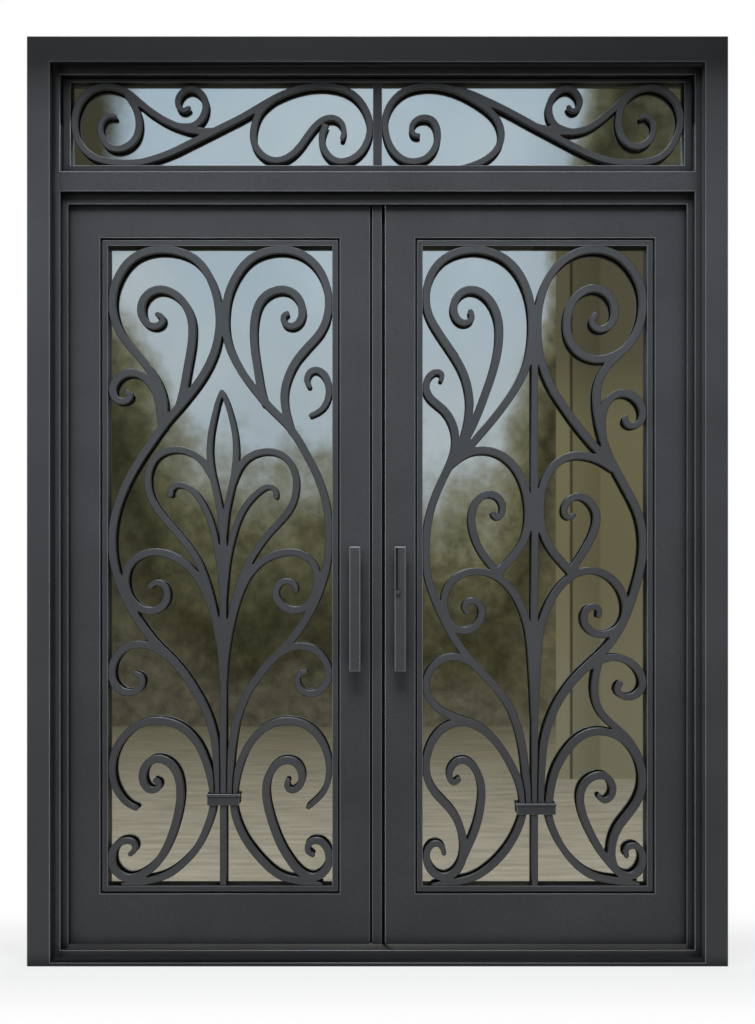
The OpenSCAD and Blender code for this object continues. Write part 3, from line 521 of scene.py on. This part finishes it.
def front_outlines(node):
    """Closed outlines of a node's outdoor face, as lists of (x, z) points, with its front and its depth."""
    mesh = merged_mesh(node)
    shape = bmesh.new()
    shape.from_mesh(mesh)
    front = min(v.co.y for v in shape.verts)
    depth = max(v.co.y for v in shape.verts) - front
    onward = {}
    for face in shape.faces:
        if face.normal.y > FRONT_FACING:
            continue
        for corner in face.loops:
            others = [f for f in corner.edge.link_faces if f is not face]
            if all(f.normal.y > FRONT_FACING for f in others):
                onward.setdefault(corner.vert, []).append(corner.link_loop_next.vert)
    loops = []
    while onward:
        here = next(iter(onward))
        start, heading, run = here, None, []
        while here in onward:
            choices = onward[here]
            if heading is None or len(choices) == 1:
                there = choices[0]
            else:
                there = min(choices, key=lambda v: turning(heading, v.co - here.co))
            choices.remove(there)
            if not choices:
                del onward[here]
            run.append(Vector((here.co.x, here.co.z)))
            heading = there.co - here.co
            here = there
            if here is start:
                break
        loops.append(run)
    shape.free()
    bpy.data.meshes.remove(mesh)
    return [loop for loop in loops if len(loop) > 2], front, depth


def turning(heading, way):
    """Left turn from one direction to another in the door's plane, from -pi to pi."""
    flat, then = Vector((heading.x, heading.z)), Vector((way.x, way.z))
    return -flat.angle_signed(then, 0.0)


def turn_at(loop, i):
    """Angle by which an outline turns at point i."""
    into = loop[i] - loop[i - 1]
    out = loop[(i + 1) % len(loop)] - loop[i]
    if into.length < 1e-7 or out.length < 1e-7:
        return 0.0
    return abs(into.angle_signed(out, 0.0))


def blunted(loop):
    """Outline whose needle-sharp notches and tips are cut back to where they are a little wide."""
    points = list(loop)
    i = 0
    while i < len(points) and len(points) > 4:
        here, before, after = points[i], points[i - 1], points[(i + 1) % len(points)]
        turn = turn_at(points, i)
        if turn < NEEDLE_TURN:
            i += 1
            continue
        back = NEEDLE_WIDTH / (2 * math.cos(turn / 2) + 1e-6)
        if back > 0.9 * min((before - here).length, (after - here).length):
            del points[i]
            i = max(i - 2, 0)
        else:
            to_before, to_after = (before - here).normalized(), (after - here).normalized()
            points[i : i + 1] = [here + to_before * back, here + to_after * back]
            i += 2
    return points


def forged_curve(loop):
    """Outline with a point added on each gentle stretch, so that bends read as one sweep."""
    smooth = [turn_at(loop, i) < CORNER_LIMIT for i in range(len(loop))]
    made = []
    for i, here in enumerate(loop):
        there = loop[(i + 1) % len(loop)]
        made.append(here)
        span = (there - here).length
        if span < SHORT_SPAN:
            continue
        before, after = loop[i - 1], loop[(i + 2) % len(loop)]
        lead = (there - before) if smooth[i] else (there - here)
        trail = (after - here) if smooth[(i + 1) % len(loop)] else (there - here)
        lead = lead.normalized() * span
        trail = trail.normalized() * span
        made.append((here + there) / 2 + (lead - trail) / 8)
    return made


def forged_panel(node, paints):
    """Scroll panel rebuilt from the node's outline, with rounded hammered edges whose rims carry painted
    shade.
    """
    loops, front, depth = front_outlines(node)
    path = bpy.data.curves.new(node + " outline", "CURVE")
    path.dimensions = "2D"
    path.fill_mode = "BOTH"
    path.extrude = depth / 2 - FORGED_EDGE
    path.bevel_depth = FORGED_EDGE
    path.bevel_resolution = EDGE_STEPS
    path.offset = -FORGED_EDGE
    for loop in loops:
        points = forged_curve(blunted(loop))
        spline = path.splines.new("POLY")
        spline.points.add(len(points) - 1)
        for point, at in zip(spline.points, points):
            point.co = (at.x, at.y, 0.0, 1.0)
        spline.use_cyclic_u = True
    draft = new_object(node + " draft", path)
    mesh = plain_mesh(draft)
    bpy.data.objects.remove(draft)
    shape = bmesh.new()
    shape.from_mesh(mesh)
    bmesh.ops.remove_doubles(shape, verts=shape.verts, dist=JOIN_GAP)
    for vertex in shape.verts:
        x, up, out = vertex.co
        vertex.co = (x, front + depth / 2 - out, up)
    bmesh.ops.recalc_face_normals(shape, faces=shape.faces)
    shape.to_mesh(mesh)
    shape.free()
    mesh.name = node + "_forged"
    piece = place_piece(node + "_forged", mesh, paints[0])
    mesh.materials.append(paints[1])
    for face in mesh.polygons:
        face.use_smooth = len(face.vertices) == 4
        # painted shade: rim faces that lean outdoors take the near-black paint
        face.material_index = int(RIM_FACING[0] < face.normal.y < RIM_FACING[1])
    hand_over(piece, node)


def meeting_seal(material):
    """Upright rubber seal on the strip between the leaves, up to the edge of the right leaf."""
    strip_low, strip_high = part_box("astragal")
    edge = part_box("right_meeting_stile")[0][0] - SEAL_PLAY
    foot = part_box("sill")[1][2] + SEAL_PLAY
    front = strip_low[1] + SEAL_BACK
    shape = bmesh.new()
    bmesh.ops.create_cube(shape, size=1.0)
    size = Vector((edge - strip_high[0], SEAL_THICK, strip_high[2] - foot))
    middle = Vector(((edge + strip_high[0]) / 2, front + SEAL_THICK / 2, (strip_high[2] + foot) / 2))
    for vertex in shape.verts:
        vertex.co = middle + Vector(vertex.co[i] * size[i] for i in range(3))
    mesh = bpy.data.meshes.new("meeting_seal")
    shape.to_mesh(mesh)
    shape.free()
    seal = place_piece("meeting_seal", mesh, material)
    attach(seal, node_body["astragal"])


def screw_tree(material):
    """Geometry Nodes tree that sets socket screw heads along each line of a path, facing indoors."""
    tree = bpy.data.node_groups.new("Screw rows", "GeometryNodeTree")
    face = tree.interface
    face.new_socket("Geometry", in_out="INPUT", socket_type="NodeSocketGeometry")
    for name in ("Spacing", "Head Radius", "Head Rise"):
        face.new_socket(name, in_out="INPUT", socket_type="NodeSocketFloat")
    face.new_socket("Geometry", in_out="OUTPUT", socket_type="NodeSocketGeometry")
    taken = add(tree, "NodeGroupInput")
    given = add(tree, "NodeGroupOutput")
    lines = add(tree, "GeometryNodeMeshToCurve")
    tree.links.new(taken.outputs["Geometry"], lines.inputs["Mesh"])
    row = add(tree, "GeometryNodeResampleCurve", mode="LENGTH")
    tree.links.new(lines.outputs["Curve"], row.inputs["Curve"])
    tree.links.new(taken.outputs["Spacing"], row.inputs["Length"])

    top_radius = added(tree, taken.outputs["Head Radius"], SCREW_TAPER, "MULTIPLY")
    socket_radius = added(tree, taken.outputs["Head Radius"], SCREW_SOCKET, "MULTIPLY")
    head = add(tree, "GeometryNodeMeshCone")
    head.inputs["Vertices"].default_value = 24
    tree.links.new(top_radius, head.inputs["Radius Top"])
    tree.links.new(taken.outputs["Head Radius"], head.inputs["Radius Bottom"])
    tree.links.new(taken.outputs["Head Rise"], head.inputs["Depth"])
    hexagon = add(tree, "GeometryNodeMeshCylinder")
    hexagon.inputs["Vertices"].default_value = 6
    tree.links.new(socket_radius, hexagon.inputs["Radius"])
    tree.links.new(taken.outputs["Head Rise"], hexagon.inputs["Depth"])
    above = add(tree, "ShaderNodeCombineXYZ")
    tree.links.new(taken.outputs["Head Rise"], above.inputs["Z"])
    raised = add(tree, "GeometryNodeTransform")
    tree.links.new(hexagon.outputs["Mesh"], raised.inputs["Geometry"])
    tree.links.new(above.outputs["Vector"], raised.inputs["Translation"])
    cut = add(tree, "GeometryNodeMeshBoolean", operation="DIFFERENCE")
    tree.links.new(head.outputs["Mesh"], cut.inputs["Mesh 1"])
    tree.links.new(raised.outputs["Geometry"], cut.inputs["Mesh 2"])

    heads = add(tree, "GeometryNodeInstanceOnPoints")
    heads.inputs["Rotation"].default_value = (math.radians(-90), 0.0, 0.0)
    tree.links.new(row.outputs["Curve"], heads.inputs["Points"])
    tree.links.new(cut.outputs["Mesh"], heads.inputs["Instance"])
    real = add(tree, "GeometryNodeRealizeInstances")
    tree.links.new(heads.outputs["Instances"], real.inputs["Geometry"])
    finish = add(tree, "GeometryNodeSetMaterial")
    finish.inputs["Material"].default_value = material
    tree.links.new(real.outputs["Geometry"], finish.inputs["Geometry"])
    tree.links.new(finish.outputs["Geometry"], given.inputs["Geometry"])
    return tree


def bead_screws(name, node, tree):
    """Rows of screws on the indoor face of a rear glazing bead, clear of its corners."""
    low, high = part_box(node)
    left, foot = low[0] + SCREW_INSET, low[2] + SCREW_INSET
    right, top = high[0] - SCREW_INSET, high[2] - SCREW_INSET
    back = high[1]
    ends = []
    for z in (foot, top):
        ends += [(left + SCREW_MARGIN, back, z), (right - SCREW_MARGIN, back, z)]
    for x in (left, right):
        ends += [(x, back, foot + SCREW_MARGIN), (x, back, top - SCREW_MARGIN)]
    path = bpy.data.meshes.new(name + " lines")
    path.from_pydata(ends, [(i, i + 1) for i in range(0, len(ends), 2)], [])
    screws = new_object(name, path)
    rows = screws.modifiers.new("screw rows", "NODES")
    rows.node_group = tree
    sizes = {"Spacing": SCREW_SPACING, "Head Radius": SCREW_RADIUS, "Head Rise": SCREW_RISE}
    for item in tree.interface.items_tree:
        if item.in_out == "INPUT" and item.name in sizes:
            rows[item.identifier] = sizes[item.name]
    mesh = plain_mesh(screws)
    screws.modifiers.clear()
    screws.data = mesh
    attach(screws, node_body[node])


def looked_at(tree):
    """Link that is 1 for the camera, for reflections and for what is seen through glass, and else 0."""
    path = add(tree, "ShaderNodeLightPath")
    direct = added(tree, path.outputs["Is Camera Ray"], path.outputs["Is Glossy Ray"], "MAXIMUM")
    return added(tree, direct, path.outputs["Is Transmission Ray"], "MAXIMUM")


def studio_world():
    """White to the camera, to reflections and through glass; softer as light."""
    world = bpy.data.worlds.new("Studio")
    bpy.context.scene.world = world
    world.use_nodes = True
    tree = world.node_tree
    back = tree.nodes["Background"]
    level = ranged(tree, looked_at(tree), (0.0, 1.0), (WORLD_LIGHT, 1.0))
    back.inputs["Color"].default_value = FULL_WHITE
    tree.links.new(level, back.inputs["Strength"])


def stage_sheet(name, corners, material):
    """Flat four-cornered stage sheet."""
    mesh = bpy.data.meshes.new(name)
    mesh.from_pydata(corners, [], [(0, 1, 2, 3)])
    mesh.materials.append(material)
    sheet = new_object(name, mesh)
    return sheet


def level_corners(wide, first, last, up):
    """Corners of a level sheet from one depth to another, equally wide to both sides."""
    return [(-wide, first, up), (wide, first, up), (wide, last, up), (-wide, last, up)]


def hide_from(item, *rays):
    """Hides a stage sheet or lamp from the named kinds of ray."""
    for ray in rays:
        setattr(item, "visible_" + ray, False)


def pale_floor():
    """Pale floor that keeps the door's shadow near its foot and fades to the white background."""
    material, tree, shader = new_material("Pale floor")
    out = tree.nodes["Material Output"]
    shader.inputs["Base Color"].default_value = FLOOR
    shader.inputs["Roughness"].default_value = 0.8
    shader.inputs["Specular IOR Level"].default_value = 0.1
    white = add(tree, "ShaderNodeEmission")
    white.inputs["Color"].default_value = FULL_WHITE
    forward = add(tree, "ShaderNodeMath", operation="ABSOLUTE")
    tree.links.new(axes(tree, object_place(tree))[1], forward.inputs[0])
    far = ranged(tree, forward.outputs["Value"], SHADOW_REACH, (SHADOW_SHARE, 1.0), "SMOOTHSTEP")
    amount = added(tree, far, looked_at(tree), "MULTIPLY")
    blend = add(tree, "ShaderNodeMixShader")
    tree.links.new(amount, blend.inputs["Fac"])
    tree.links.new(shader.outputs["BSDF"], blend.inputs[1])
    tree.links.new(white.outputs["Emission"], blend.inputs[2])
    tree.links.new(blend.outputs["Shader"], out.inputs["Surface"])
    stage_sheet("Floor", level_corners(FLOOR_REACH, -FLOOR_REACH, FLOOR_REACH, 0), material)


def glowing(name):
    """Emission material with its node tree and its emission node."""
    material, tree, _ = new_material(name)
    tree.nodes.clear()
    out = add(tree, "ShaderNodeOutputMaterial")
    glow = add(tree, "ShaderNodeEmission")
    tree.links.new(glow.outputs["Emission"], out.inputs["Surface"])
    return material, tree, glow


def reflected_card(name, corners, material):
    """Card that shows only in what mirrors it or looks out through the glass."""
    hide_from(stage_sheet(name, corners, material), "camera", "diffuse", "shadow")


def upright_corners(left, right, at, foot, top):
    """Corners of an upright sheet at one depth."""
    return [(left, at, foot), (right, at, foot), (right, at, top), (left, at, top)]


def reflected_sky():
    """Upright card behind the camera: pale sky over soft olive trees that rise to the sides."""
    material, tree, glow = glowing("Reflected sky and trees")
    place = object_place(tree)
    x, _, z = axes(tree, place)
    foliage = noise(tree, place, *FOLIAGE)
    right_trees = step_over(tree, x, *RIGHT_TREES, TREE_RISE)
    left_trees = step_over(tree, x, *LEFT_TREES, LEFT_RISE)
    line = added(tree, added(tree, right_trees, left_trees), TREE_LINE)
    ragged = added(tree, added(tree, foliage, 0.5, "SUBTRACT"), RAGGED, "MULTIPLY")
    above = added(tree, added(tree, z, line, "SUBTRACT"), ragged)
    level = ranged(tree, above, SKY_SPAN)

    # clouds in the sky, then leaf clumps over all that isn't sky
    cloudy = colour_ramp(tree, noise(tree, place, *CLOUDS), CLOUD_STOPS)
    sky = mix_colours(tree, 1.0, colour_ramp(tree, level, SKY_STOPS), cloudy, "MULTIPLY")
    ground = step_over(tree, added(tree, z, ragged), GROUND_TOP, GROUND_TOP - GROUND_FADE, 1.0)
    backdrop = mix_colours(tree, ground, sky, GROUND)
    leaves = colour_ramp(tree, noise(tree, place, *CLUMPS), LEAF_STOPS)
    lit_leaves = scaled(tree, leaves, ranged(tree, x, SIDE_SPAN, SIDE_GAIN))
    not_sky = step_over(tree, level, *SKY_EDGE, LEAF_SHARE)
    textured = mix_colours(tree, not_sky, backdrop, lit_leaves, "MULTIPLY")
    across = added(tree, x, added(tree, ragged, BOUGH_SWAY, "MULTIPLY"))
    boughs = step_over(tree, across, *HIGH_BOUGHS, 1.0)
    high_up = step_over(tree, z, *HIGH_BOUGHS_RISE, 1.0)
    textured = mix_colours(tree, added(tree, boughs, high_up, "MULTIPLY"), textured, BOUGHS)
    eaves = step_over(tree, z, *EAVES_RISE, 1.0)
    tree.links.new(mix_colours(tree, eaves, textured, EAVES), glow.inputs["Color"])
    corners = upright_corners(-CARD_REACH, CARD_REACH, REFLECTED_AT, 0, SKY_TOP)
    reflected_card("Reflected sky", corners, material)


def reflected_wall():
    """Nearer card: a plastered side wall with a post, dim under its eaves."""
    material, tree, glow = glowing("Reflected wall")
    x, _, z = axes(tree, object_place(tree))
    plaster = colour_ramp(tree, ranged(tree, z, (0.0, WALL_TOP)), WALL_STOPS)
    post = colour_ramp(tree, ranged(tree, x, (WALL_FROM, WALL_TO)), POST_STOPS)
    built = mix_colours(tree, 1.0, plaster, post, "MULTIPLY")
    tree.links.new(built, glow.inputs["Color"])
    reflected_card("Reflected wall", upright_corners(WALL_FROM, WALL_TO, WALL_AT, 0, WALL_TOP), material)


def reflected_paving():
    """Card just over the floor: pale warm paving that darkens with distance."""
    material, tree, glow = glowing("Reflected paving")
    place = object_place(tree)
    courses = add(tree, "ShaderNodeMapping")
    courses.inputs["Scale"].default_value = COURSES
    tree.links.new(place, courses.inputs["Vector"])
    streaks = colour_ramp(tree, noise(tree, courses.outputs["Vector"], *STREAKS), STREAK_STOPS)
    nearness = ranged(tree, axes(tree, place)[1], (REFLECTED_AT, PAVING_LIGHT))
    paved = mix_colours(tree, 1.0, colour_ramp(tree, nearness, PAVING_STOPS), streaks, "MULTIPLY")
    tree.links.new(paved, glow.inputs["Color"])
    corners = level_corners(CARD_REACH, REFLECTED_AT, PAVING_NEAR, OVER_FLOOR)
    reflected_card("Reflected paving", corners, material)


def dim_indoors(back):
    """Dark cards behind the door that only show through glass, as an unlit room does."""
    material, _, glow = glowing("Dim indoors")
    glow.inputs["Color"].default_value = INDOORS
    near, far = back + INDOOR_GAP, back + INDOOR_DEPTH
    wall = upright_corners(INDOOR_REACH, -INDOOR_REACH, far, OVER_FLOOR, INDOOR_HEIGHT)
    ground = level_corners(INDOOR_REACH, near, far, OVER_FLOOR)
    for name, corners in (("Dim indoor wall", wall), ("Dim indoor floor", ground)):
        hide_from(stage_sheet(name, corners, material), "camera", "diffuse", "glossy", "shadow")


def eaves_shade():
    """Card over the door that keeps the overhead light off the head, as eaves do, and is never seen."""
    corners = level_corners(SHADE_REACH, SHADE_NEAR, SHADE_FAR, SHADE_HEIGHT)
    shade = stage_sheet("Eaves shade", corners, new_material("Eaves shade")[0])
    hide_from(shade, "camera", "diffuse", "glossy", "transmission")


def soft_lamp(name, place, aim, size, power, colour, mirrored):
    """Large area lamp aimed at a point."""
    data = bpy.data.lights.new(name, "AREA")
    data.shape = "RECTANGLE"
    data.size, data.size_y = size
    data.energy = power
    data.color = colour
    lamp = new_object(name, data)
    lamp.location = place
    lamp.rotation_euler = (Vector(aim) - Vector(place)).to_track_quat("-Z", "Y").to_euler()
    hide_from(lamp, "camera", "transmission")
    lamp.visible_glossy = mirrored


def picture_camera(front):
    """Level camera straight in front of the door, with the picture's small upward framing."""
    data = bpy.data.cameras.new("Picture camera")
    data.sensor_width = SENSOR_WIDTH
    data.lens = SENSOR_WIDTH * CAMERA_DISTANCE / PICTURE_SPAN
    data.shift_y = FRAMING_RISE / PICTURE_TALL
    camera = new_object("Picture camera", data)
    camera.location = (0.0, front - CAMERA_DISTANCE, CAMERA_HEIGHT)
    camera.rotation_euler = (math.radians(90), 0.0, 0.0)
    bpy.context.scene.camera = camera


powder_coat = powder_coat_group()
frame_paint = (
    coated_iron("Charcoal frame paint", powder_coat, CHARCOAL, sheen=0.38, dust=0.35, specular=0.15),
    coated_iron("Frame arris painted highlight", powder_coat, ARRIS_HIGHLIGHT, sheen=0.30, dust=0.0, specular=0.40),
)
forged_paint = (
    coated_iron("Charcoal forged paint", powder_coat, CHARCOAL_FORGED, sheen=0.30, dust=0.25, specular=0.30),
    coated_iron("Forged rim painted shade", powder_coat, FORGED_RIM_SHADE, sheen=0.28, dust=0.0, specular=0.40),
)
worn_paint_and_highlight = (
    coated_iron("Charcoal worn paint", powder_coat, CHARCOAL_WORN, sheen=0.30, dust=0.20, specular=0.30),
    coated_iron("Worn arris painted highlight", powder_coat, WORN_ARRIS_HIGHLIGHT, sheen=0.22, dust=0.0, specular=0.50),
)
latch_shade_paints = (
    coated_iron("Black latch paint", powder_coat, LATCH_BLADE_SHADE, sheen=0.35, dust=0.0, specular=0.20),
    worn_paint_and_highlight[1],
)
mirror_glass = coated_glass("Coated glass")
screw_steel = coated_iron("Screw steel", powder_coat, SCREW_STEEL, sheen=0.24, dust=0.0, specular=0.50)
black_rubber = coated_iron("Black rubber", powder_coat, RUBBER, sheen=0.60, dust=0.0, specular=0.20)

frame_members = ["left_jamb", "right_jamb", "head", "sill", "transom_bar"]
stops = ["left_door_stop", "right_door_stop", "head_door_stop"]
left_members = ["left_hinge_stile", "left_top_rail", "left_bottom_rail", "left_meeting_stile"]
right_members = ["right_hinge_stile", "right_top_rail", "right_bottom_rail", "right_meeting_stile"]
welded("frame_welded", frame_members, frame_paint, ARRIS)
welded("door_stops_welded", stops, frame_paint, ARRIS)
welded("left_leaf_welded", left_members, frame_paint, ARRIS)
welded("right_leaf_welded", right_members, frame_paint, ARRIS)
done = frame_members + stops + left_members + right_members

for node in nodes:
    if node in done:
        continue
    if node.endswith("scrolls") or node.endswith("scrollwork"):
        forged_panel(node, forged_paint)
    elif "glass" in node:
        hand_over(place_piece(node + "_pane", merged_mesh(node), mirror_glass), node)
    elif "pull" in node:
        softened(node, worn_paint_and_highlight, PULL_ARRIS)
    elif "latch" in node:
        thumb_lever(node, latch_shade_paints, worn_paint_and_highlight[0])
    elif "bead" in node or "mullion" in node or "collar" in node:
        softened(node, frame_paint, BEAD_ARRIS)
    else:
        softened(node, frame_paint, ARRIS)
meeting_seal(black_rubber)
screw_rows = screw_tree(screw_steel)
for pane in ("left", "right", "transom"):
    bead_screws(pane + "_bead_screws", pane + "_rear_bead", screw_rows)

bpy.context.scene.view_settings.view_transform = "Standard"
studio_world()
pale_floor()
reflected_sky()
reflected_wall()
reflected_paving()
dim_indoors(cad_box[1][1])
eaves_shade()
for lamp in LAMPS:
    soft_lamp(*lamp)
picture_camera(cad_box[0][1])
